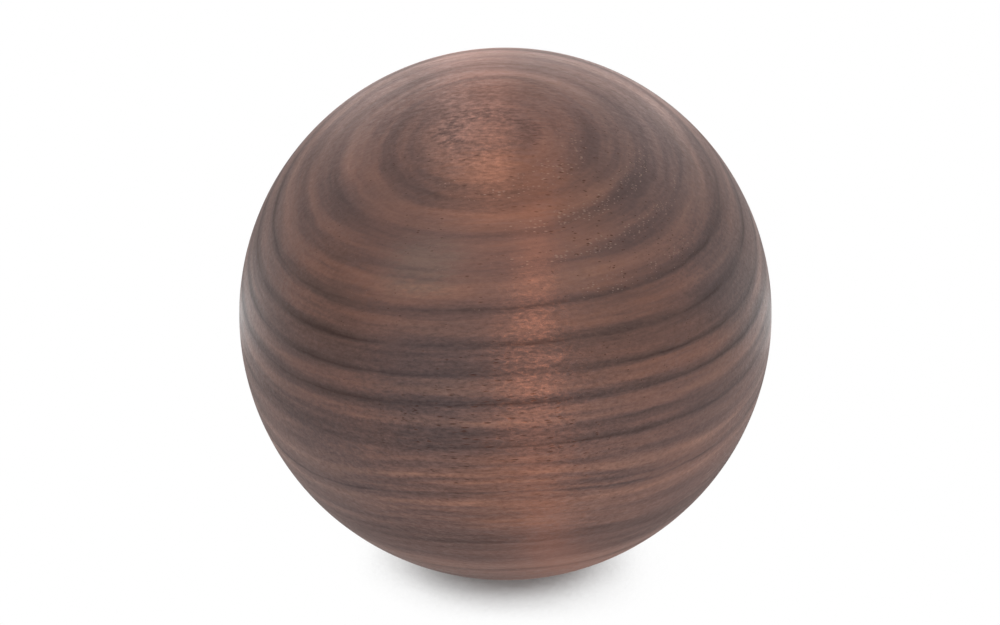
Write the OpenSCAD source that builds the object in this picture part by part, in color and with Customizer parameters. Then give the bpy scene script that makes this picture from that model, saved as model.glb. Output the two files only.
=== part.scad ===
// A wooden ball, turned and sanded from one solid blank.
// Sizes are in millimetres. The origin is the ball's centre and +Z is up.
// The grain of the wood runs nearly along X.

/* [Ball] */
// Diameter of the finished ball
ball_d = 70; // [30:1:120]

/* [Hidden] */

// Oiled walnut heartwood
walnut_brown = [0.42, 0.31, 0.27];

// Facets round the preview. The solid itself is a true sphere
$fn = 180;

// The whole object is one solid piece of wood, with no core and no layers
module ball() {
    color(walnut_brown)
        sphere(d = ball_d);
}

ball();
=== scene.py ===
# %% [markdown]
# # A walnut ball, step by step
# The object is one solid ball of walnut, turned round and sanded until it feels smooth.
# The shape is simple, so the work of this lesson goes into the wood. The growth rings, the pores
# and the soft glow across the fibres all have to look cut out of one block.
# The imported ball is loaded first. It is the measure for everything else, and it is never changed.
# It is made of small flat faces, so its box is a hair narrower than the true ball from some sides.
# The new ball takes the smallest half of the box as its radius, and so it stays inside.

import bpy
import math
from mathutils import Matrix, Vector


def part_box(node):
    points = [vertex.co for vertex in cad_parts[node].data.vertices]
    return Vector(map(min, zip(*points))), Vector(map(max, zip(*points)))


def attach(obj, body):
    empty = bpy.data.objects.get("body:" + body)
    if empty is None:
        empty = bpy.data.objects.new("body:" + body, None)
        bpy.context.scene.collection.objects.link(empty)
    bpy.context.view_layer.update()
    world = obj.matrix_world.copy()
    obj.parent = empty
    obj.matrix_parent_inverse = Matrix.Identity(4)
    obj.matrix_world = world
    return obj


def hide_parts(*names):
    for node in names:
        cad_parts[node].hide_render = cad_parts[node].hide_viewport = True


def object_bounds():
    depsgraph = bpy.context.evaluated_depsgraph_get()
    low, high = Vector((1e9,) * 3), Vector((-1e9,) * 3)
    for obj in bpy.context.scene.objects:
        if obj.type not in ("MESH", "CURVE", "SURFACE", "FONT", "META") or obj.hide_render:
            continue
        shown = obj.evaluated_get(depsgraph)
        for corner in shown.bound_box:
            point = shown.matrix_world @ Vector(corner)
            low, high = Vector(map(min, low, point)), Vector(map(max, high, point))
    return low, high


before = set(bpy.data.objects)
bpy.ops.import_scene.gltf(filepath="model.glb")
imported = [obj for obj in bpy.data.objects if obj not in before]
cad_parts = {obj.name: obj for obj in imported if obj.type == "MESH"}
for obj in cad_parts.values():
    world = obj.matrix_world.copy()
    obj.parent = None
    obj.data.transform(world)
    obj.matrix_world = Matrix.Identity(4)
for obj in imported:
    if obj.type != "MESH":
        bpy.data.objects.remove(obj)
cad_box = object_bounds()
low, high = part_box("ball")
MM = 0.001
TRUE_RADIUS = max(high - low) / 2
BALL_RADIUS = min(high - low) / 2
BALL_RADIUS_MM = BALL_RADIUS / MM
print("packed ball from", tuple(low), "to", tuple(high))

# %% [markdown]
# A node tree is easier to read as sums than as boxes and wires, so a few helpers come next.
# `calc` adds a Math node, `calc_vector` a Vector Math node, and `feed` either links a value or types it in.
# The same nodes exist in shader trees and in Geometry Nodes, so one helper serves both.

# %% Helpers that write nodes
def add_node(tree, kind, **settings):
    node = tree.nodes.new(kind)
    for name, value in settings.items():
        setattr(node, name, value)
    return node


def feed(tree, value, socket):
    if isinstance(value, bpy.types.NodeSocket):
        tree.links.new(value, socket)
    else:
        socket.default_value = value


def calc(tree, operation, *values):
    node = add_node(tree, "ShaderNodeMath", operation=operation)
    for value, socket in zip(values, node.inputs):
        feed(tree, value, socket)
    return node.outputs[0]


def calc_vector(tree, operation, *values):
    node = add_node(tree, "ShaderNodeVectorMath", operation=operation)
    for value, socket in zip(values, node.inputs):
        feed(tree, value, socket)
    return node.outputs[0]


def between(tree, value, start, end, low_end=0.0, high_end=1.0):
    node = add_node(tree, "ShaderNodeMapRange", interpolation_type="SMOOTHSTEP")
    for item, name in (
        (value, "Value"),
        (start, "From Min"),
        (end, "From Max"),
        (low_end, "To Min"),
        (high_end, "To Max"),
    ):
        feed(tree, item, node.inputs[name])
    return node.outputs["Result"]


def between_straight(tree, value, start, end):
    return calc(tree, "DIVIDE", calc(tree, "SUBTRACT", value, start), end - start)


def between_limits(tree, value, least, most):
    return calc(tree, "MINIMUM", calc(tree, "MAXIMUM", value, least), most)


print("node helpers: add_node, feed, calc, calc_vector, between, between_straight, between_limits")

# %% [markdown]
# A place or a direction is three numbers in one. These helpers take it apart, put it together,
# make it longer or shorter, and measure it.

# %% Helpers for vectors
def axes(tree, vector):
    node = add_node(tree, "ShaderNodeSeparateXYZ")
    feed(tree, vector, node.inputs[0])
    return node.outputs


def joined(tree, x, y, z=0.0):
    node = add_node(tree, "ShaderNodeCombineXYZ")
    for value, socket in zip((x, y, z), node.inputs):
        feed(tree, value, socket)
    return node.outputs[0]


def scaled(tree, vector, by):
    node = add_node(tree, "ShaderNodeVectorMath", operation="SCALE")
    feed(tree, vector, node.inputs[0])
    feed(tree, by, node.inputs["Scale"])
    return node.outputs[0]


def length_of(tree, vector):
    node = add_node(tree, "ShaderNodeVectorMath", operation="LENGTH")
    feed(tree, vector, node.inputs[0])
    return node.outputs["Value"]


print("vector helpers: axes, joined, scaled, length_of")

# %% [markdown]
# A Float Curve node turns one number into another by a drawn line. Here the line is drawn by a list
# of points. Straight handles keep the year count even, and soft handles make one year melt into the next.

# %% A helper that draws a Float Curve
def drawn_curve(tree, value, points, handle="AUTO_CLAMPED"):
    node = add_node(tree, "ShaderNodeFloatCurve")
    feed(tree, value, node.inputs["Value"])
    curve = node.mapping.curves[0]
    curve.points[0].location = points[0]
    curve.points[1].location = points[-1]
    for at, height in points[1:-1]:
        curve.points.new(at, height)
    for point in curve.points:
        point.handle_type = handle
    node.mapping.update()
    return node.outputs["Value"]


print("curve helper: drawn_curve")

# %% [markdown]
# ## How the ball lay in the tree
# A tree grows in rings round its pith. The ball was turned from a block beside the pith, so the rings
# run through it as nested shells. Where a shell just touches the surface, the rings close into an eye.
# On this ball the eye looks up and towards the viewer, and the fibres run nearly level from left to right.
# Three directions hold all of that: along the fibres, across them, and towards the pith.

# %% Directions of the grain
FIBRE_RISE = math.radians(3.4)
FIBRE_TURN = math.radians(0.9)
EYE_HEIGHT = math.radians(61.8)
PITH_FROM_CENTRE_MM = 57.76

along = Vector(
    (
        math.cos(FIBRE_RISE) * math.cos(FIBRE_TURN),
        -math.cos(FIBRE_RISE) * math.sin(FIBRE_TURN),
        math.sin(FIBRE_RISE),
    )
)
to_pith = Vector((0.0, -math.cos(EYE_HEIGHT), math.sin(EYE_HEIGHT)))
to_pith = (to_pith - along * to_pith.dot(along)).normalized()
across = to_pith.cross(along)
into_grain = Matrix((along, across, to_pith)).to_euler("XYZ")
print("fibres run along", tuple(round(v, 3) for v in along))
print("the pith lies towards", tuple(round(v, 3) for v in to_pith))

# %% [markdown]
# The years come as a list, counted outwards from the innermost ring that the ball cuts.
# A noise texture could make rings too, but no two years of this ball are alike: wet years grew wide
# and pale, dry ones narrow and dark. So each year says how wide it is, how pale its early wood gets
# and where in the year that is, how dark its late wood is, and how strong the fine line is that ends it.
# A few hair-thin lines, pale or dark, lie inside a year. They have their own short list, and one of
# them shows only behind the eye.

# %% The years of growth
FIRST_YEAR_MM = 22.0
YEARS = (
    # width mm, tone of its early wood, where that is, tone of its late wood, dark of its last line
    (3.9, 0.60, 0.31, 0.48, 0.15),
    (3.9, 0.66, 0.54, 0.49, 0.18),
    (3.2, 0.58, 0.56, 0.50, 0.10),
    (4.4, 0.70, 0.48, 0.47, 0.70),
    (4.3, 0.62, 0.54, 0.45, 0.95),
    (3.6, 0.50, 0.50, 0.43, 0.70),
    (3.6, 0.68, 0.46, 0.45, 0.80),
    (3.2, 0.71, 0.68, 0.48, 0.20),
    (2.3, 0.46, 0.32, 0.42, 0.55),
    (2.3, 0.59, 0.68, 0.57, 0.05),
    (4.1, 0.64, 0.34, 0.57, 0.42),
    (4.7, 0.66, 0.42, 0.56, 0.15),
    (3.8, 0.56, 0.18, 0.39, 0.15),
    (3.0, 0.42, 0.50, 0.40, 0.10),
    (3.7, 0.74, 0.76, 0.66, 0.80),
    (4.2, 0.66, 0.42, 0.50, 0.60),
    (3.1, 0.58, 0.50, 0.42, 0.80),
    (4.5, 0.68, 0.60, 0.46, 0.50),
    (3.9, 0.60, 0.50, 0.38, 0.70),
    (4.6, 0.66, 0.50, 0.44, 0.60),
)
START_TONE = 0.5
LATE_WOOD_AT = 0.9
LINE_STARTS_AT = 0.35
LINE_LASTS_MM = 0.8
ALL_AROUND = ((0.0, 0.0, 0.0), (100.0, 100.0, 100.0))
BEHIND_THE_EYE = ((3.0, 11.5, 32.5), (16.0, 5.0, 8.0))
THIN_LINES = (
    # distance and half width in mm, change of tone, centre and half size of the part that shows it
    (27.10, 0.50, -0.18, BEHIND_THE_EYE),
    (58.15, 0.65, 0.17, ALL_AROUND),
    (60.75, 0.28, -0.16, ALL_AROUND),
    (62.30, 0.65, 0.17, ALL_AROUND),
)
REACH_MM = 100.0  # the curves run from the first year to here


def share_of_reach(mm):
    return (mm - FIRST_YEAR_MM) / (REACH_MM - FIRST_YEAR_MM)


def year_points():
    """Curve points for the year count, the broad tone and the darkness of each line."""
    count = [(0.0, 0.0)]
    tone = [(0.0, START_TONE)]
    line = [(0.0, 0.0)]
    at = FIRST_YEAR_MM
    for number, (width, early, place, late, dark) in enumerate(YEARS):
        count.append((share_of_reach(at + width), (number + 1) / len(YEARS)))
        tone.append((share_of_reach(at + place * width), early))
        tone.append((share_of_reach(at + LATE_WOOD_AT * width), late))
        line.append((share_of_reach(at + LINE_STARTS_AT * width), dark))
        line.append((share_of_reach(at + width + LINE_LASTS_MM), dark))
        at += width
    return count, tone, line, at


count_points, tone_points, line_points, last_year_mm = year_points()
print(len(YEARS), "years from", FIRST_YEAR_MM, "to", round(last_year_mm, 1), "mm from the pith")

# %% [markdown]
# The distance from the pith gives the year. A real trunk is never a perfect cylinder, so the distance
# is bent a little. It swells along the fibres near the eye, which makes the innermost rings nearly
# round, and it twists slightly from one end of the ball to the other.
# The inner rings also lean one way and the middle ones the other way, and the outer rings sink
# towards the two ends of the fibres. These are smooth changes, so no ring ever breaks.

# %% Distance from the pith, in millimetres
EYE_SWELL = 0.30
EYE_SPREAD_MM2 = 252.0
EYE_LOWERED = 0.067
EYE_SIDEWAYS = -0.033
GRAIN_TWIST = -0.017
RING_TILT = 0.022
TILT_TURNS_MM = (30.0, 46.0)
TILT_FADES_MM = (53.0, 60.0)
ENDS_SINK_MM = 1.6
SINK_GROWS_MM = (54.0, 60.0)
SINK_MIDDLE_MM = -4.0
SINK_FROM_MM, SINK_TO_MM = 4.0, 24.0


def pith_distance(tree, place):
    """place is in millimetres: x along the fibres, y across them, z towards the pith."""
    x, y, z = axes(tree, place)
    x2 = calc(tree, "MULTIPLY", x, x)
    y2 = calc(tree, "MULTIPLY", y, y)
    from_eye = calc(tree, "DIVIDE", calc(tree, "ADD", x2, y2), EYE_SPREAD_MM2)
    fade = calc(tree, "ADD", calc(tree, "MULTIPLY", from_eye, from_eye), 1.0)
    near_eye = calc(tree, "DIVIDE", 1.0, fade)
    swell = calc(tree, "MULTIPLY", x2, EYE_SWELL / BALL_RADIUS_MM)
    moved = calc(tree, "MULTIPLY_ADD", x, EYE_SIDEWAYS, swell)
    lowered = calc(tree, "MULTIPLY_ADD", y, EYE_LOWERED, moved)
    twist = calc(tree, "MULTIPLY", calc(tree, "MULTIPLY", x, y), GRAIN_TWIST / BALL_RADIUS_MM)
    bend = calc(tree, "MULTIPLY_ADD", lowered, near_eye, twist)
    depth = calc(tree, "SUBTRACT", calc(tree, "ADD", bend, PITH_FROM_CENTRE_MM), z)
    distance = calc(tree, "SQRT", calc(tree, "MULTIPLY_ADD", depth, depth, y2))
    tilt = between(tree, distance, *TILT_TURNS_MM, -RING_TILT, RING_TILT)
    tilt = calc(tree, "MULTIPLY", tilt, between(tree, distance, *TILT_FADES_MM, 1.0, 0.0))
    from_middle = calc(tree, "ABSOLUTE", calc(tree, "SUBTRACT", x, SINK_MIDDLE_MM))
    to_ends = between(tree, from_middle, SINK_FROM_MM, SINK_TO_MM)
    sink = calc(tree, "MULTIPLY", to_ends, between(tree, distance, *SINK_GROWS_MM, 0.0, ENDS_SINK_MM))
    uneven = calc(tree, "MULTIPLY_ADD", x, tilt, sink)
    return calc(tree, "SUBTRACT", distance, uneven)


nearest_mm = PITH_FROM_CENTRE_MM - BALL_RADIUS_MM
farthest_mm = PITH_FROM_CENTRE_MM + BALL_RADIUS_MM
print("the ball reaches from", round(nearest_mm, 1), "to", round(farthest_mm, 1), "mm from the pith")

# %% [markdown]
# ## The turned ball
# A ball made from longitude and latitude lines pinches at its two poles, and its faces get thin there.
# A cube that is blown up into a ball has even faces all over and no poles, so that is the way taken here.
# The tangent keeps the squares from shrinking near the edges of the cube.
# The six sides of the cube are also laid out flat as a UV map, three beside each other in two rows.
# A game or web copy of the ball keeps its painted wood on that map.

# %% Six sides laid out flat
UV_MAP = "OFBake"
SIDE_GAP = 0.02
COLUMNS, ROWS = 3.0, 2.0


def laid_flat(tree):
    """The UV place of each face corner, worked out while the ball is still a cube from -1 to 1.

    The two x sides go in the first column, the y sides in the second, the z sides in the third.
    """
    facing = add_node(tree, "GeometryNodeFieldOnDomain", data_type="FLOAT_VECTOR", domain="FACE")
    feed(tree, add_node(tree, "GeometryNodeInputNormal").outputs[0], facing.inputs[0])
    nx, ny, nz = axes(tree, facing.outputs[0])
    px, py, pz = axes(tree, add_node(tree, "GeometryNodeInputPosition").outputs[0])
    sideways = calc(tree, "MULTIPLY_ADD", calc(tree, "SUBTRACT", nz, ny), px, calc(tree, "MULTIPLY", nx, py))
    flat_z = calc(tree, "ABSOLUTE", nz)
    upright = calc(tree, "SUBTRACT", 1.0, flat_z)
    upwards = calc(tree, "MULTIPLY_ADD", upright, pz, calc(tree, "MULTIPLY", flat_z, py))
    column = calc(tree, "MULTIPLY_ADD", flat_z, 2.0, calc(tree, "ABSOLUTE", ny))
    row = calc(tree, "GREATER_THAN", calc(tree, "ADD", calc(tree, "ADD", nx, ny), nz), 0.0)
    half = (1.0 - SIDE_GAP) / 2
    u = calc(tree, "ADD", calc(tree, "MULTIPLY_ADD", sideways, half, 0.5), column)
    v = calc(tree, "ADD", calc(tree, "MULTIPLY_ADD", upwards, half, 0.5), row)
    return joined(tree, calc(tree, "DIVIDE", u, COLUMNS), calc(tree, "DIVIDE", v, ROWS))


print("the flat map has room for", int(COLUMNS * ROWS), "sides")

# %% [markdown]
# The tree does the whole shape: cube, layout, ball, sanding. Its radius, its sanded depth and the
# number of points along an edge are named inputs, so the ball can be changed without new code.
# Sanding wears soft early wood a touch more than hard late wood. So the tree lowers the surface by
# one to two hundredths of a millimetre, and most where the tone is pale. Sanded wood is never quite even.

# %% Geometry Nodes tree for the ball
POINTS_PER_EDGE = 128
SANDED_MM = 0.03  # where the tone is 1
CUBE_SIZE = (2.0, 2.0, 2.0)


def ball_tree(material):
    tree = bpy.data.node_groups.new("turned_ball", "GeometryNodeTree")
    sides = tree.interface
    sides.new_socket("Geometry", in_out="INPUT", socket_type="NodeSocketGeometry")
    for name, kind, value in (
        ("Radius", "NodeSocketFloat", BALL_RADIUS),
        ("Sanded Depth", "NodeSocketFloat", SANDED_MM * MM),
        ("Points per Edge", "NodeSocketInt", POINTS_PER_EDGE),
    ):
        sides.new_socket(name, in_out="INPUT", socket_type=kind).default_value = value
    sides.new_socket("Geometry", in_out="OUTPUT", socket_type="NodeSocketGeometry")
    given = add_node(tree, "NodeGroupInput")
    cube = add_node(tree, "GeometryNodeMeshCube")
    feed(tree, CUBE_SIZE, cube.inputs["Size"])
    for side in ("Vertices X", "Vertices Y", "Vertices Z"):
        feed(tree, given.outputs["Points per Edge"], cube.inputs[side])
    place = add_node(tree, "GeometryNodeInputPosition").outputs[0]
    quarter = calc_vector(tree, "MULTIPLY", place, (math.pi / 4,) * 3)
    outward = calc_vector(tree, "NORMALIZE", calc_vector(tree, "TANGENT", quarter))
    in_grain = add_node(tree, "ShaderNodeVectorRotate", rotation_type="EULER_XYZ")
    feed(tree, calc_vector(tree, "MULTIPLY", outward, (BALL_RADIUS_MM,) * 3), in_grain.inputs["Vector"])
    feed(tree, into_grain, in_grain.inputs["Rotation"])
    distance = pith_distance(tree, in_grain.outputs[0])
    share = between_straight(tree, distance, FIRST_YEAR_MM, REACH_MM)
    tone = drawn_curve(tree, share, tone_points)
    sunk = calc(tree, "MULTIPLY", tone, given.outputs["Sanded Depth"])
    reach = calc(tree, "SUBTRACT", given.outputs["Radius"], sunk)
    keep = add_node(tree, "GeometryNodeStoreNamedAttribute", data_type="FLOAT2", domain="CORNER")
    feed(tree, cube.outputs["Mesh"], keep.inputs["Geometry"])
    feed(tree, UV_MAP, keep.inputs["Name"])
    feed(tree, laid_flat(tree), keep.inputs["Value"])
    move = add_node(tree, "GeometryNodeSetPosition")
    feed(tree, keep.outputs[0], move.inputs["Geometry"])
    feed(tree, scaled(tree, outward, reach), move.inputs["Position"])
    smooth = add_node(tree, "GeometryNodeSetShadeSmooth")
    feed(tree, move.outputs[0], smooth.inputs[0])
    real = add_node(tree, "GeometryNodeRealizeInstances")
    feed(tree, smooth.outputs[0], real.inputs[0])
    finish = add_node(tree, "GeometryNodeSetMaterial")
    feed(tree, real.outputs[0], finish.inputs[0])
    finish.inputs["Material"].default_value = material
    result = add_node(tree, "NodeGroupOutput")
    feed(tree, finish.outputs[0], result.inputs[0])
    return tree


print("the cube has", 6 * (POINTS_PER_EDGE - 1) ** 2, "squares")

# %% [markdown]
# ## Walnut
# Everything in the wood is worked out in millimetres inside the block, so the pattern goes right
# through the ball, and end grain shows on its left and right sides by itself.
# One number, the tone, goes from dark late wood to pale early wood, and a colour ramp turns it into
# walnut. A few more colours tint the wood or lie in its pores.

# %% Colours of the wood
WOOD_SHADES = (
    # tone, linear colour
    (0.00, (0.020, 0.018, 0.019)),
    (0.30, (0.056, 0.043, 0.042)),
    (0.50, (0.091, 0.060, 0.055)),
    (0.70, (0.138, 0.080, 0.066)),
    (1.00, (0.212, 0.114, 0.084)),
)
CLOUD_TINT = (0.62, 0.86, 1.00, 1.0)
WARM_TINT = (1.10, 0.90, 0.75, 1.0)
OPEN_PORE = (0.020, 0.011, 0.010, 1.0)
FILLED_PORE = (0.26, 0.185, 0.15, 1.0)


def shade_ramp(tree, value, shades):
    node = add_node(tree, "ShaderNodeValToRGB")
    feed(tree, value, node.inputs[0])
    ramp = node.color_ramp
    ramp.elements[0].position = shades[0][0]
    ramp.elements[1].position = shades[-1][0]
    for at, _ in shades[1:-1]:
        ramp.elements.new(at)
    for element, (_, colour) in zip(ramp.elements, shades):
        element.color = (*colour, 1.0)
    return node.outputs["Color"]


def blended(tree, share, first, second, way="MIX"):
    node = add_node(tree, "ShaderNodeMix", data_type="RGBA", blend_type=way)
    feed(tree, share, node.inputs["Factor"])
    for value, name in ((first, "A"), (second, "B")):
        socket = [s for s in node.inputs if s.name == name and s.type == "RGBA"][0]
        feed(tree, value, socket)
    return [s for s in node.outputs if s.type == "RGBA"][0]


print(len(WOOD_SHADES), "shades of walnut, from", WOOD_SHADES[0][1], "to", WOOD_SHADES[-1][1])

# %% [markdown]
# Noise draws the fine grain. Wood changes slowly along its fibres and quickly across them, so most
# kinds of noise are stretched along the fibres. A picture of wood could do this on a flat board, but
# on a ball it would have to be bent, and it wouldn't go on into the end grain.

# %% Noise that follows the fibres
WOOD_NOISES = {
    # changes per mm along the fibres, across them and towards the pith; detail; roughness
    "waver of the rings": ((0.05, 0.5, 0.5), 3.0, 0.6),
    "layers of a year": ((0.05, 0.10, 1.0), 5.0, 0.62),
    "breaks in a line": ((0.07, 0.12, 0.25), 2.0, 0.5),
    "fibres": ((0.14, 2.0, 2.0), 5.0, 0.72),
    "flecks": ((1.2, 3.0, 3.0), 4.0, 0.7),
    "faint clouds": ((0.045, 0.09, 0.20), 3.0, 0.55),
    "crowds of pores": ((0.16, 0.16, 0.16), 2.0, 0.5),
    "dusty places": ((0.30, 0.30, 0.30), 2.0, 0.5),
    "figure": ((0.30, 0.9, 0.9), 3.0, 0.6),
}


def wood_noise(tree, place, name):
    """Noise from 0 to 1, as the row with this name says."""
    changes, detail, roughness = WOOD_NOISES[name]
    node = add_node(tree, "ShaderNodeTexNoise", noise_dimensions="3D")
    feed(tree, calc_vector(tree, "MULTIPLY", place, changes), node.inputs["Vector"])
    feed(tree, 1.0, node.inputs["Scale"])
    feed(tree, detail, node.inputs["Detail"])
    feed(tree, roughness, node.inputs["Roughness"])
    return node.outputs[0]


def swing(tree, place, name):
    """The same noise with its middle at 0, so it makes a place paler as often as darker."""
    return calc(tree, "SUBTRACT", wood_noise(tree, place, name), 0.5)


print(len(WOOD_NOISES), "kinds of noise:", ", ".join(WOOD_NOISES))

# %% [markdown]
# Real walnut is uneven on top of its rings. Stains make a place darker or paler, clouds make it
# cooler and greyer, and warm spots pull it towards orange. Not all of it is wood: the pale patch and
# the warm spot just below the eye are partly a painted highlight of the orange glow, and the pale
# patch on the bottom is painted light bounced up from the floor. Each is a soft patch with its own
# centre and half size, in millimetres along the fibres, across them and towards the pith.

# %% Soft patches
STAINS_AND_PAINTED_LIGHT = (
    # centre, half size, darkness; less than 0 is pale
    # pale wood below the eye, partly a painted highlight: the orange glow of the band of light
    ((0.4, -5.6, 34.5), (4.2, 3.0, 4.0), -0.18),
    ((14.0, 5.0, 31.0), (8.0, 7.0, 8.0), 0.05),
    ((-9.0, -18.0, 29.0), (9.0, 6.0, 8.0), -0.17),
    ((-8.5, -16.5, 30.0), (6.0, 4.0, 5.0), -0.14),
    ((-20.0, -17.0, 24.0), (7.0, 8.0, 8.0), 0.07),
    ((-25.0, -20.5, 15.0), (10.0, 10.0, 10.0), 0.05),
    ((-12.0, -29.0, 17.0), (8.0, 6.0, 5.0), 0.06),
    ((29.0, -12.0, 16.0), (9.0, 10.0, 10.0), 0.10),
    ((25.5, -18.0, 13.0), (5.0, 5.0, 6.0), -0.06),
    ((-8.5, -1.5, 34.0), (5.0, 5.0, 6.0), -0.10),
    ((-13.0, -9.0, 31.0), (5.0, 4.0, 6.0), -0.07),
    ((11.0, -10.0, 32.0), (5.0, 8.0, 7.0), -0.06),
    ((10.5, -19.0, 27.5), (4.0, 8.0, 8.0), -0.08),
    ((5.0, 4.5, 34.0), (7.0, 3.0, 5.0), -0.07),
    ((-6.0, -15.0, 31.0), (6.0, 4.0, 6.0), -0.03),
    ((12.0, -18.0, 27.0), (8.0, 4.0, 6.0), -0.04),
    ((-13.0, -32.0, 6.0), (11.0, 8.0, 8.0), 0.06),
    ((0.0, -34.0, 7.0), (8.0, 6.0, 6.0), -0.04),
    # painted light: the bottom of the ball made paler, standing in for light bounced up from the floor
    ((-0.6, -35.0, -1.5), (15.0, 8.0, 6.0), -0.05),
    ((-20.0, -21.0, 18.0), (14.0, 10.0, 14.0), 0.05),
)
CLOUDS = (
    # centre, half size, strength
    ((-8.5, -27.0, 20.0), (9.0, 9.0, 12.0), 0.55),
    ((-8.5, -16.5, 30.0), (7.0, 4.5, 5.0), 0.90),
    ((19.0, 0.0, 28.0), (15.0, 16.0, 16.0), 0.55),
    ((12.0, 6.0, 32.0), (9.0, 7.0, 8.0), 0.55),
    ((-21.0, -26.0, 3.0), (14.0, 10.0, 12.0), 0.60),
    ((27.0, -10.0, 18.0), (8.0, 9.0, 8.0), 0.55),
    ((26.0, -22.0, 8.0), (6.0, 8.0, 8.0), 0.35),
)
WARM_SPOTS_AND_PAINTED_GLOW = (
    # centre, half size, strength
    # partly a painted highlight: the orange glow of the band of light just below the eye
    ((1.0, -8.0, 34.0), (9.5, 7.0, 6.0), 0.7),
    ((11.0, -9.0, 32.0), (5.0, 7.0, 7.0), 0.3),
    ((3.0, 8.0, 33.5), (8.0, 3.0, 5.0), 0.4),
    ((16.0, -22.0, 22.0), (12.0, 9.0, 8.0), 0.4),
    ((-21.0, -16.0, 24.0), (8.0, 9.0, 8.0), 0.5),
    ((25.5, -18.0, 13.0), (6.0, 6.0, 7.0), 0.4),
    ((0.0, -34.0, 7.0), (9.0, 6.0, 8.0), 0.35),
)
PATCH_FRAY = 1.6
PATCH_STARTS, PATCH_IS_FULL = 1.25, 0.25  # in half sizes from the centre


def soft_patch(tree, grain, centre, half_size, fibre=0.0):
    """1 in the middle of the patch and 0 outside it; the fibres fray its edge."""
    away = calc_vector(tree, "SUBTRACT", grain, centre)
    away = calc_vector(tree, "DIVIDE", away, half_size)
    frayed = calc(tree, "MULTIPLY_ADD", fibre, PATCH_FRAY, length_of(tree, away))
    return between(tree, frayed, PATCH_STARTS, PATCH_IS_FULL)


print(len(STAINS_AND_PAINTED_LIGHT), "stains,", len(CLOUDS), "clouds and", len(WARM_SPOTS_AND_PAINTED_GLOW), "warm spots")

# %% [markdown]
# Each place in the wood now gets its year. The phase says how far that year is on, from 0 to 1.
# The dark line that ends a year grows slowly in the late wood and fades fast in the next early wood,
# and a finer, darker core lies inside it.

# %% Rings, and the line that ends a year
RING_WAVER_MM = 0.5
# each pair is the phase where it starts and the phase where it is full
LINE_GROWS, LINE_FADES = (0.74, 0.97), (0.16, 0.0)
CORE_GROWS, CORE_FADES = (0.92, 0.985), (0.04, 0.0)
LINE_SHARE = 0.75
CORE_SHARE = 0.5


def rings(tree, grain):
    """The distance from the pith in millimetres, the phase of the year, its tone and its last line."""
    waver = swing(tree, grain, "waver of the rings")
    distance = calc(tree, "MULTIPLY_ADD", waver, RING_WAVER_MM, pith_distance(tree, grain))
    share = between_straight(tree, distance, FIRST_YEAR_MM, REACH_MM)
    tone = drawn_curve(tree, share, tone_points)
    years = calc(tree, "MULTIPLY", drawn_curve(tree, share, count_points, "VECTOR"), float(len(YEARS)))
    phase = calc(tree, "FRACT", years)
    soft = calc(tree, "MAXIMUM", between(tree, phase, *LINE_GROWS), between(tree, phase, *LINE_FADES))
    core = calc(tree, "MAXIMUM", between(tree, phase, *CORE_GROWS), between(tree, phase, *CORE_FADES))
    line = calc(tree, "MULTIPLY_ADD", core, CORE_SHARE, calc(tree, "MULTIPLY", soft, LINE_SHARE))
    line = calc(tree, "MULTIPLY", line, drawn_curve(tree, share, line_points, "VECTOR"))
    return distance, phase, tone, line


def ring_place(tree, grain, distance):
    """The place with its distance from the pith as third number, so noise bends with the rings."""
    along_fibres, across_fibres, _ = axes(tree, grain)
    return joined(tree, along_fibres, across_fibres, distance)


print("a year's line is darkest from phase", CORE_GROWS[1], "to", CORE_FADES[1] + 1)

# %% [markdown]
# Layers make each year uneven, most of all low on the front. The dark lines come and go along the
# rings, and the fibres cut them up. Without that they would look drawn with a pen.

# %% Layers and broken lines
LOW_FRONT = ((0.0, -34.0, 5.0), (20.0, 12.0, 12.0))
LAYERS, LAYERS_LOW = 0.8, 0.6
LINE_DARK = 0.24
LINE_PRESENCE = 0.95
LINE_BREAKS = 3.0
LINE_FRAY = 2.5
FAINTEST_LINE = 0.1
THIN_LINE_LIMITS = (0.4, 1.6)  # the faintest and the strongest place of a thin line
THIN_LINE_CORE_MM = 0.05


def with_layers(tree, in_rings, low, tone):
    strength = calc(tree, "MULTIPLY_ADD", low, LAYERS_LOW, LAYERS)
    return calc(tree, "MULTIPLY_ADD", swing(tree, in_rings, "layers of a year"), strength, tone)


def with_lines(tree, grain, in_rings, distance, fibre, line, tone):
    breaks = swing(tree, in_rings, "breaks in a line")
    shown = calc(tree, "MULTIPLY_ADD", breaks, LINE_BREAKS, LINE_PRESENCE)
    shown = calc(tree, "MAXIMUM", calc(tree, "MULTIPLY_ADD", fibre, LINE_FRAY, shown), FAINTEST_LINE)
    tone = calc(tree, "MULTIPLY_ADD", calc(tree, "MULTIPLY", line, shown), -LINE_DARK, tone)
    patchy = between_limits(tree, shown, *THIN_LINE_LIMITS)
    for line_mm, half_width, change, part_of_ball in THIN_LINES:
        off = calc(tree, "ABSOLUTE", calc(tree, "SUBTRACT", distance, line_mm))
        thin = calc(tree, "MULTIPLY", between(tree, off, half_width, THIN_LINE_CORE_MM), patchy)
        thin = calc(tree, "MULTIPLY", thin, soft_patch(tree, grain, *part_of_ball))
        tone = calc(tree, "MULTIPLY_ADD", thin, change, tone)
    return tone


print(len(THIN_LINES), "thin lines at", [row[0] for row in THIN_LINES], "mm from the pith")

# %% [markdown]
# The heart is a small dark ring inside the eye. It is strong on its far side only, so a plain ring
# would be wrong. The flecks of the wood break it into a few dark strokes.

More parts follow.
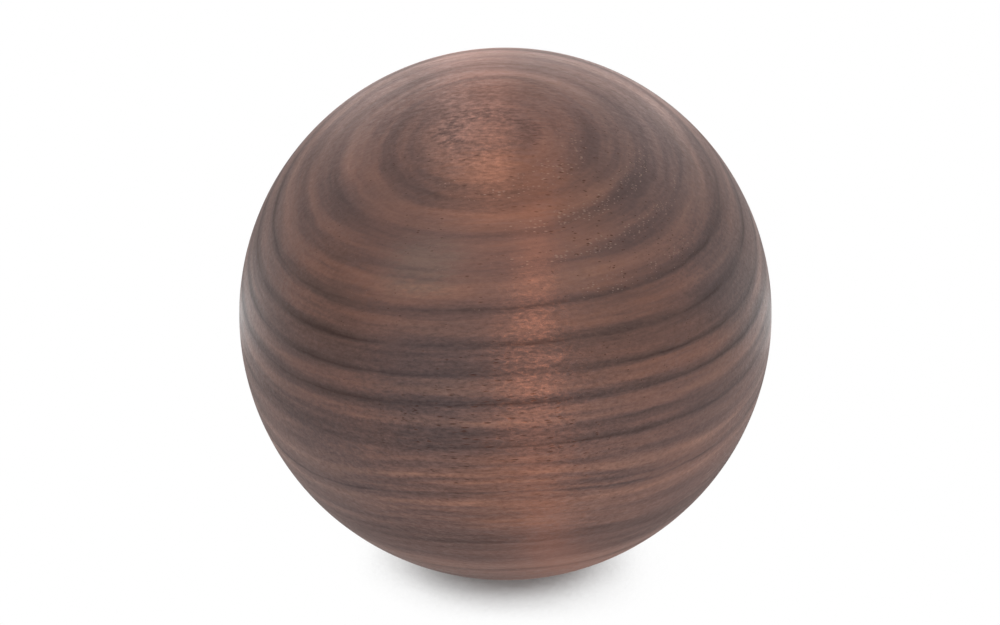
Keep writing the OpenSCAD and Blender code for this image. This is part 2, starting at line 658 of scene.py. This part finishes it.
# %% The heart, and the stains and painted light
HEART_CENTRE_MM = (0.0, -0.9, 34.9)
HEART_SIZE_MM = (4.8, 3.7, 30.0)
HEART_DARK = 0.27
HEART_FRAY = 1.2
HEART_RING = (0.50, 0.05)  # how far off the ring it starts, and how far off it is full
HEART_FAR_SIDE = (-0.75, 0.05)  # from nothing on the near side to full on the far side
STROKES_FROM_FLECKS, STROKES_EVERYWHERE = -3.0, 0.75


def with_heart(tree, grain, fibre, fleck, tone):
    away = calc_vector(tree, "SUBTRACT", grain, HEART_CENTRE_MM)
    shape = calc_vector(tree, "DIVIDE", away, HEART_SIZE_MM)
    frayed = calc(tree, "MULTIPLY_ADD", fibre, HEART_FRAY, length_of(tree, shape))
    off = calc(tree, "ABSOLUTE", calc(tree, "SUBTRACT", frayed, 1.0))
    ring = between(tree, off, *HEART_RING)
    far_side = between(tree, axes(tree, shape)[1], *HEART_FAR_SIDE)
    strokes = calc(tree, "MULTIPLY_ADD", fleck, STROKES_FROM_FLECKS, STROKES_EVERYWHERE)
    strokes = calc(tree, "MAXIMUM", strokes, 0.0)
    dark = calc(tree, "MULTIPLY", calc(tree, "MULTIPLY", ring, far_side), strokes)
    return calc(tree, "MULTIPLY_ADD", dark, -HEART_DARK, tone)


# the patches darken or pale the tone; two of the pale ones are painted light, not stains
def with_stains_and_painted_light(tree, grain, fibre, tone):
    for centre, half_size, dark in STAINS_AND_PAINTED_LIGHT:
        tone = calc(tree, "MULTIPLY_ADD", soft_patch(tree, grain, centre, half_size, fibre), -dark, tone)
    return tone


print("the heart is", 2 * HEART_SIZE_MM[0], "by", 2 * HEART_SIZE_MM[1], "mm")

# %% [markdown]
# The tone becomes a colour. Clouds and warm spots tint it, and the fibres and flecks make it a little
# brighter and darker. Flecks are lively in the eye and on the middle of the front, and fibres low on
# the front. Elsewhere both are calm. The flecks are grain, but their extra strength in the eye and on
# the front is painted glints: it stands in for the fine glints where the band of light crosses the fibres.

# %% From tone to colour
LIVELY_FRONT = ((0.0, -31.5, 15.0), (24.0, 20.0, 22.0))
AROUND_THE_EYE = (HEART_CENTRE_MM, (15.0, 13.0, 12.0))
# the extra fleck strength in the eye and on the front is grain with painted glints on top
LIVELY_IN_EYE, LIVELY_ON_FRONT, LIVELY_ELSEWHERE = 0.8, 1.2, 0.45
FAINT_CLOUDS = (0.45, 0.72, 0.0, 0.24)  # from this noise to that, from this strength to that
BRIGHTNESS = 1.12
STREAKS, STREAKS_LOW = 0.4, 0.7


def wood_colour(tree, grain, in_rings, fibre, tone):
    colour = shade_ramp(tree, tone, WOOD_SHADES)
    cloud = between(tree, wood_noise(tree, in_rings, "faint clouds"), *FAINT_CLOUDS)
    for centre, half_size, strength in CLOUDS:
        patch = calc(tree, "MULTIPLY", soft_patch(tree, grain, centre, half_size, fibre), strength)
        cloud = calc(tree, "MAXIMUM", cloud, patch)
    colour = blended(tree, cloud, colour, CLOUD_TINT, "MULTIPLY")
    # warm spots, and the first is partly a painted orange highlight below the eye
    for centre, half_size, strength in WARM_SPOTS_AND_PAINTED_GLOW:
        warm = calc(tree, "MULTIPLY", soft_patch(tree, grain, centre, half_size, fibre), strength)
        colour = blended(tree, warm, colour, WARM_TINT, "MULTIPLY")
    return colour


# how strong the flecks are: grain everywhere, with painted glints added in the eye and on the front
def fleck_strength_with_painted_glints(tree, grain, front):
    eye = soft_patch(tree, grain, *AROUND_THE_EYE)
    on_front = calc(tree, "MULTIPLY_ADD", front, LIVELY_ON_FRONT, LIVELY_ELSEWHERE)
    return calc(tree, "MULTIPLY_ADD", eye, LIVELY_IN_EYE, on_front)


# where the flecks are strongest, part of their brightening and darkening is a painted glint
def with_streaks(tree, fibre, fleck, low, fleck_and_glint_strength, colour):
    streaks = calc(tree, "MULTIPLY_ADD", low, STREAKS_LOW, STREAKS)
    light = calc(tree, "MULTIPLY_ADD", fibre, streaks, BRIGHTNESS)
    return scaled(tree, colour, calc(tree, "MULTIPLY_ADD", fleck, fleck_and_glint_strength, light))


print("flecks are", LIVELY_ELSEWHERE, "strong, and up to", LIVELY_ON_FRONT, "more on the front")

# %% [markdown]
# Pores are cut vessels: fine tubes that run with the fibres. In a Voronoi pattern that is stretched
# along the fibres, a cell holds one pore. It is a short dash on the front, and a dot on the end grain.
# A random number leaves half of the cells empty and says how wide the pores of the others are.
# Most pores are open and dark. On the shoulder beside the eye, sanding dust has filled the pores of
# the late wood, so they are pale specks there.

# %% Pores
SHOULDER = ((12.5, -9.5, 31.0), (17.0, 12.0, 13.0))
PORED_FRONT = ((0.0, -31.5, 15.0), (15.0, 10.0, 9.0))
OPEN_CELLS_PER_MM = (0.70, 3.8, 3.8)
FILLED_CELLS_PER_MM = (1.7, 5.4, 5.4)
WIDEST_PORE = 0.55  # radius in a cell of size 1
PORE_FLOOR = 0.35  # the share of that radius where the pore is at its deepest
OPEN_CROWDS = (0.35, 0.65, 0.14, 0.36)  # from this noise to that, from this crowd to that
OPEN_ON_FRONT, OPEN_ON_SHOULDER = 0.42, 0.22
DUSTY_PLACES = (0.42, 0.62)
DUSTY_LATE_WOOD = (0.35, 0.70)
DUST_IN_PLACES, DUST_BETWEEN = 0.5, 0.5
DUST_ON_SHOULDER, DUST_ELSEWHERE = 0.95, 0.25
OPEN_PORE_COVER, FILLED_PORE_COVER = 0.8, 0.65


def pores(tree, grain, cells_per_mm, crowd):
    """1 in a pore and 0 beside it. Where crowd is high the pores are wider, so more of them show."""
    pattern = add_node(tree, "ShaderNodeTexVoronoi", voronoi_dimensions="3D", feature="F1")
    feed(tree, calc_vector(tree, "MULTIPLY", grain, cells_per_mm), pattern.inputs["Vector"])
    feed(tree, 1.0, pattern.inputs["Scale"])
    chance = add_node(tree, "ShaderNodeSeparateColor")
    feed(tree, pattern.outputs["Color"], chance.inputs[0])
    lucky = calc(tree, "MAXIMUM", calc(tree, "MULTIPLY_ADD", chance.outputs[0], 2.0, -1.0), 0.0)
    radius = calc(tree, "MINIMUM", calc(tree, "MULTIPLY", lucky, crowd), WIDEST_PORE)
    return between(tree, pattern.outputs["Distance"], radius, calc(tree, "MULTIPLY", radius, PORE_FLOOR))


def open_pores(tree, grain):
    crowd = between(tree, wood_noise(tree, grain, "crowds of pores"), *OPEN_CROWDS)
    crowd = calc(tree, "MULTIPLY_ADD", soft_patch(tree, grain, *PORED_FRONT), OPEN_ON_FRONT, crowd)
    crowd = calc(tree, "MULTIPLY_ADD", soft_patch(tree, grain, *SHOULDER), OPEN_ON_SHOULDER, crowd)
    return pores(tree, grain, OPEN_CELLS_PER_MM, crowd)


def filled_pores(tree, grain, phase):
    patchy = between(tree, wood_noise(tree, grain, "dusty places"), *DUSTY_PLACES)
    in_late_wood = between(tree, phase, *DUSTY_LATE_WOOD)
    crowd = calc(tree, "MULTIPLY_ADD", patchy, DUST_IN_PLACES, DUST_BETWEEN)
    crowd = calc(tree, "MULTIPLY", crowd, in_late_wood)
    near = calc(tree, "MULTIPLY_ADD", soft_patch(tree, grain, *SHOULDER), DUST_ON_SHOULDER, DUST_ELSEWHERE)
    return pores(tree, grain, FILLED_CELLS_PER_MM, calc(tree, "MULTIPLY", crowd, near))


def with_pores(tree, pore, filled, colour):
    colour = blended(tree, calc(tree, "MULTIPLY", pore, OPEN_PORE_COVER), colour, OPEN_PORE)
    return blended(tree, calc(tree, "MULTIPLY", filled, FILLED_PORE_COVER), colour, FILLED_PORE)


print("open pores are at most", round(2 * WIDEST_PORE / OPEN_CELLS_PER_MM[1], 2), "mm wide")

# %% [markdown]
# Now the finish. The wood has a thin coat of oil. It isn't glossy, but a soft upright band of light
# stands across the fibres, because each fibre is a tiny rod that spreads light to its sides.
# The Principled shader does the same with full anisotropy. Its tangent runs round the axis of the
# fibres, and the specular tint makes the band as coppery as the wood below it.
# Roughness and bump follow the fibres and the pores, so the band breaks up into fine strands.
# A little sheen and a weak coat give the pale edge that oiled wood has when it is seen at a low angle.

# %% Relief and shine
PORE_RELIEF, FIBRE_RELIEF, FLECK_RELIEF, FIGURE_RELIEF = -1.0, 0.6, 2.0, 5.0
RELIEF_MM = 0.03
RELIEF_ON_FRONT, RELIEF_ELSEWHERE = 0.65, 0.35
DULLNESS = 0.58
DULL_FROM_TONE, DULL_FROM_FIBRE, DULL_FROM_FLECK = -0.25, -0.35, -0.80
DULLNESS_LIMITS = (0.30, 0.80)
OIL_FINISH = {
    "Anisotropic": 1.0,
    "Specular IOR Level": 0.62,
    "Specular Tint": (1.0, 0.31, 0.14, 1.0),
    "Sheen Weight": 0.07,
    "Sheen Roughness": 0.45,
    "Coat Weight": 0.08,
    "Coat Roughness": 0.5,
    "Coat IOR": 1.45,
}


def relief(tree, grain, fibre, fleck, pore, front):
    figure = swing(tree, grain, "figure")
    height = calc(tree, "MULTIPLY_ADD", pore, PORE_RELIEF, calc(tree, "MULTIPLY", fibre, FIBRE_RELIEF))
    height = calc(tree, "MULTIPLY_ADD", fleck, FLECK_RELIEF, height)
    height = calc(tree, "MULTIPLY_ADD", figure, FIGURE_RELIEF, height)
    bump = add_node(tree, "ShaderNodeBump")
    feed(tree, height, bump.inputs["Height"])
    strength = calc(tree, "MULTIPLY_ADD", front, RELIEF_ON_FRONT, RELIEF_ELSEWHERE)
    feed(tree, strength, bump.inputs["Strength"])
    feed(tree, RELIEF_MM * MM, bump.inputs["Distance"])
    return bump.outputs[0]


def dullness(tree, tone, fibre, fleck, fleck_and_glint_strength):
    dull = calc(tree, "MULTIPLY_ADD", tone, DULL_FROM_TONE, DULLNESS)
    dull = calc(tree, "MULTIPLY_ADD", fibre, DULL_FROM_FIBRE, dull)
    dull = calc(tree, "MULTIPLY_ADD", calc(tree, "MULTIPLY", fleck, fleck_and_glint_strength), DULL_FROM_FLECK, dull)
    return between_limits(tree, dull, *DULLNESS_LIMITS)


print("roughness stays from", DULLNESS_LIMITS[0], "to", DULLNESS_LIMITS[1])

# %% [markdown]
# The parts above come together in one material. The Mapping node turns the ball's own coordinates
# into the grain frame, in millimetres, and everything else follows from that place.

# %% Walnut material
def grain_place(tree):
    turned = add_node(tree, "ShaderNodeMapping", vector_type="POINT")
    feed(tree, add_node(tree, "ShaderNodeTexCoord").outputs["Object"], turned.inputs["Vector"])
    turned.inputs["Rotation"].default_value = into_grain
    turned.inputs["Scale"].default_value = (1 / MM,) * 3
    return turned.outputs[0]


def walnut():
    material = bpy.data.materials.new("oiled_walnut")
    material.use_nodes = True
    tree = material.node_tree
    tree.nodes.clear()
    grain = grain_place(tree)
    distance, phase, tone, line = rings(tree, grain)
    in_rings = ring_place(tree, grain, distance)
    fibre = swing(tree, grain, "fibres")
    fleck = swing(tree, grain, "flecks")
    low = soft_patch(tree, grain, *LOW_FRONT)
    front = soft_patch(tree, grain, *LIVELY_FRONT)
    fleck_and_glint_strength = fleck_strength_with_painted_glints(tree, grain, front)

    tone = with_layers(tree, in_rings, low, tone)
    tone = with_lines(tree, grain, in_rings, distance, fibre, line, tone)
    tone = with_heart(tree, grain, fibre, fleck, tone)
    tone = with_stains_and_painted_light(tree, grain, fibre, tone)
    colour = wood_colour(tree, grain, in_rings, fibre, tone)
    colour = with_streaks(tree, fibre, fleck, low, fleck_and_glint_strength, colour)
    pore = open_pores(tree, grain)
    colour = with_pores(tree, pore, filled_pores(tree, grain, phase), colour)

    shader = add_node(tree, "ShaderNodeBsdfPrincipled")
    feed(tree, colour, shader.inputs["Base Color"])
    feed(tree, dullness(tree, tone, fibre, fleck, fleck_and_glint_strength), shader.inputs["Roughness"])
    feed(tree, relief(tree, grain, fibre, fleck, pore, front), shader.inputs["Normal"])
    swirl = add_node(tree, "ShaderNodeTangent", direction_type="RADIAL", axis="X")
    feed(tree, swirl.outputs[0], shader.inputs["Tangent"])
    for name, value in OIL_FINISH.items():
        shader.inputs[name].default_value = value
    output = add_node(tree, "ShaderNodeOutputMaterial")
    feed(tree, shader.outputs[0], output.inputs["Surface"])
    return material


wood = walnut()
print(wood.name, "has", len(wood.node_tree.nodes), "nodes")

# %% [markdown]
# The modifier's result becomes a plain mesh, which is what an export needs, and the helper object
# goes away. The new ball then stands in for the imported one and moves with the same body.

# %% Make the ball
def plain_mesh(name, tree, inputs):
    """The tree's result as a plain mesh, with no modifier left. The empty first material slot it brings is
    taken off.
    """
    maker = bpy.data.objects.new(name + "_maker", bpy.data.meshes.new(name + "_maker"))
    bpy.context.scene.collection.objects.link(maker)
    nodes = maker.modifiers.new("nodes", "NODES")
    nodes.node_group = tree
    for item in tree.interface.items_tree:
        if item.in_out == "INPUT" and item.name in inputs:
            nodes[item.identifier] = inputs[item.name]
    depsgraph = bpy.context.evaluated_depsgraph_get()
    mesh = bpy.data.meshes.new_from_object(
        maker.evaluated_get(depsgraph), preserve_all_data_layers=True, depsgraph=depsgraph
    )
    maker.modifiers.remove(nodes)
    bpy.data.objects.remove(maker)
    mesh.name = name
    mesh.materials.pop(index=0)
    piece = bpy.data.objects.new(name, mesh)
    bpy.context.scene.collection.objects.link(piece)
    return piece


ball = plain_mesh(
    "walnut_ball",
    ball_tree(wood),
    {"Radius": BALL_RADIUS, "Sanded Depth": SANDED_MM * MM, "Points per Edge": POINTS_PER_EDGE},
)
print("walnut_ball has", len(ball.data.polygons), "faces and", [m.name for m in ball.data.materials])
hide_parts("ball")
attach(ball, "root")

# %% [markdown]
# ## The studio
# The ball lies on a plain white floor under soft light. The floor and the air behind it are white
# to the camera and to reflections, and the lamps stay at a plain level, so the wood keeps its own colour.
# A floor that glowed evenly would lose the shadow. Ambient occlusion tells how open each place is, so
# the floor is plain white in the open, and near the ball it shows its own shaded colour.

# %% Floor and surroundings
FLOOR_WHITE = 0.90
AIR_LIGHT = 0.11
OPEN_FROM, OPEN_TO = 0.09, 0.31
OPEN_REACH = 0.5
OPEN_SAMPLES = 16
FLOOR_REACH = 3.0


def seen_directly(tree):
    """1 for what the camera, a reflection or glass looks at, and 0 for light that falls on things."""
    path = add_node(tree, "ShaderNodeLightPath")
    seen = calc(tree, "MAXIMUM", path.outputs["Is Camera Ray"], path.outputs["Is Glossy Ray"])
    return calc(tree, "MAXIMUM", seen, path.outputs["Is Transmission Ray"])


def floor_material():
    material = bpy.data.materials.new("white_floor")
    material.use_nodes = True
    tree = material.node_tree
    tree.nodes.clear()
    shaded = add_node(tree, "ShaderNodeBsdfDiffuse")
    shaded.inputs["Color"].default_value = (FLOOR_WHITE,) * 3 + (1.0,)
    white = add_node(tree, "ShaderNodeEmission")
    openness = add_node(tree, "ShaderNodeAmbientOcclusion", samples=OPEN_SAMPLES)
    openness.inputs["Distance"].default_value = OPEN_REACH
    clear = between(tree, openness.outputs["AO"], OPEN_FROM, OPEN_TO)
    mix = add_node(tree, "ShaderNodeMixShader")
    feed(tree, calc(tree, "MULTIPLY", clear, seen_directly(tree)), mix.inputs[0])
    feed(tree, shaded.outputs[0], mix.inputs[1])
    feed(tree, white.outputs[0], mix.inputs[2])
    output = add_node(tree, "ShaderNodeOutputMaterial")
    feed(tree, mix.outputs[0], output.inputs["Surface"])
    return material


def make_floor():
    height = cad_box[0].z
    signs = ((-1, -1), (1, -1), (1, 1), (-1, 1))
    corners = [(x * FLOOR_REACH, y * FLOOR_REACH, height) for x, y in signs]
    mesh = bpy.data.meshes.new("floor")
    mesh.from_pydata(corners, [], [(0, 1, 2, 3)])
    mesh.materials.append(floor_material())
    floor = bpy.data.objects.new("floor", mesh)
    bpy.context.scene.collection.objects.link(floor)
    print("floor", 2 * FLOOR_REACH, "m wide at height", round(height, 4))


def make_air():
    world = bpy.data.worlds.new("studio_air")
    bpy.context.scene.world = world
    world.use_nodes = True
    tree = world.node_tree
    background = tree.nodes["Background"]
    background.inputs["Color"].default_value = (1.0, 1.0, 1.0, 1.0)
    seen = seen_directly(tree)
    strength = calc(tree, "MULTIPLY_ADD", seen, 1.0 - AIR_LIGHT, AIR_LIGHT)
    feed(tree, strength, background.inputs["Strength"])


make_floor()
make_air()

# %% [markdown]
# Three soft lamps. A wide one behind the ball brightens its upper rim. A narrow one overhead lights
# the eye, and a small one in front, to the right, makes the upright band of light on the fibres.
# No lamp shows in the picture, because the camera doesn't see them.

# %% Lamps
LAMPS = (
    # name, place, width and height in metres, power in watts
    ("back_softbox", (0.02, 0.95, 0.42), 1.50, 0.40, 9.5),
    ("top_strip", (-0.13, 0.22, 0.88), 0.12, 0.70, 5.7),
    ("front_strip", (0.165, -0.80, 0.085), 0.13, 0.24, 4.1),
)


def softbox(name, place, width, height, power):
    data = bpy.data.lights.new(name, "AREA")
    data.shape = "RECTANGLE"
    data.size, data.size_y = width, height
    data.energy = power
    lamp = bpy.data.objects.new(name, data)
    bpy.context.scene.collection.objects.link(lamp)
    lamp.location = place
    lamp.rotation_mode = "QUATERNION"
    lamp.rotation_quaternion = (-Vector(place)).to_track_quat("-Z", "Y")
    lamp.visible_camera = False
    print(name, "of", power, "W at", place)


for lamp_row in LAMPS:
    softbox(*lamp_row)

# %% [markdown]
# The camera looks down a little, and stands close with a short telephoto lens.
# The small shift puts the ball where the photograph has it.

# %% Camera
CAMERA_HEIGHT = math.radians(22.0)
CAMERA_DISTANCE = 9.0 * TRUE_RADIUS
PHOTO_WIDTH = 1000
BALL_RADIUS_PX = 266.5
RIGHT_OF_MIDDLE_PX = 5.45
BELOW_MIDDLE_PX = 1.36
SENSOR_MM = 36.0
NEAREST, FARTHEST = 0.01, 20.0


def make_camera():
    data = bpy.data.cameras.new("camera")
    data.sensor_width = SENSOR_MM
    edge = math.tan(math.asin(TRUE_RADIUS / CAMERA_DISTANCE))
    data.lens = BALL_RADIUS_PX / edge * SENSOR_MM / PHOTO_WIDTH
    data.shift_x = -RIGHT_OF_MIDDLE_PX / PHOTO_WIDTH
    data.shift_y = BELOW_MIDDLE_PX / PHOTO_WIDTH
    data.clip_start, data.clip_end = NEAREST, FARTHEST
    camera = bpy.data.objects.new("camera", data)
    bpy.context.scene.collection.objects.link(camera)
    back = Vector((0.0, -math.cos(CAMERA_HEIGHT), math.sin(CAMERA_HEIGHT)))
    camera.location = back * CAMERA_DISTANCE
    camera.rotation_mode = "QUATERNION"
    camera.rotation_quaternion = (-back).to_track_quat("-Z", "Y")
    bpy.context.scene.camera = camera
    print("lens", round(data.lens, 1), "mm at", CAMERA_DISTANCE, "m")


make_camera()
bpy.context.scene.view_settings.view_transform = "Standard"
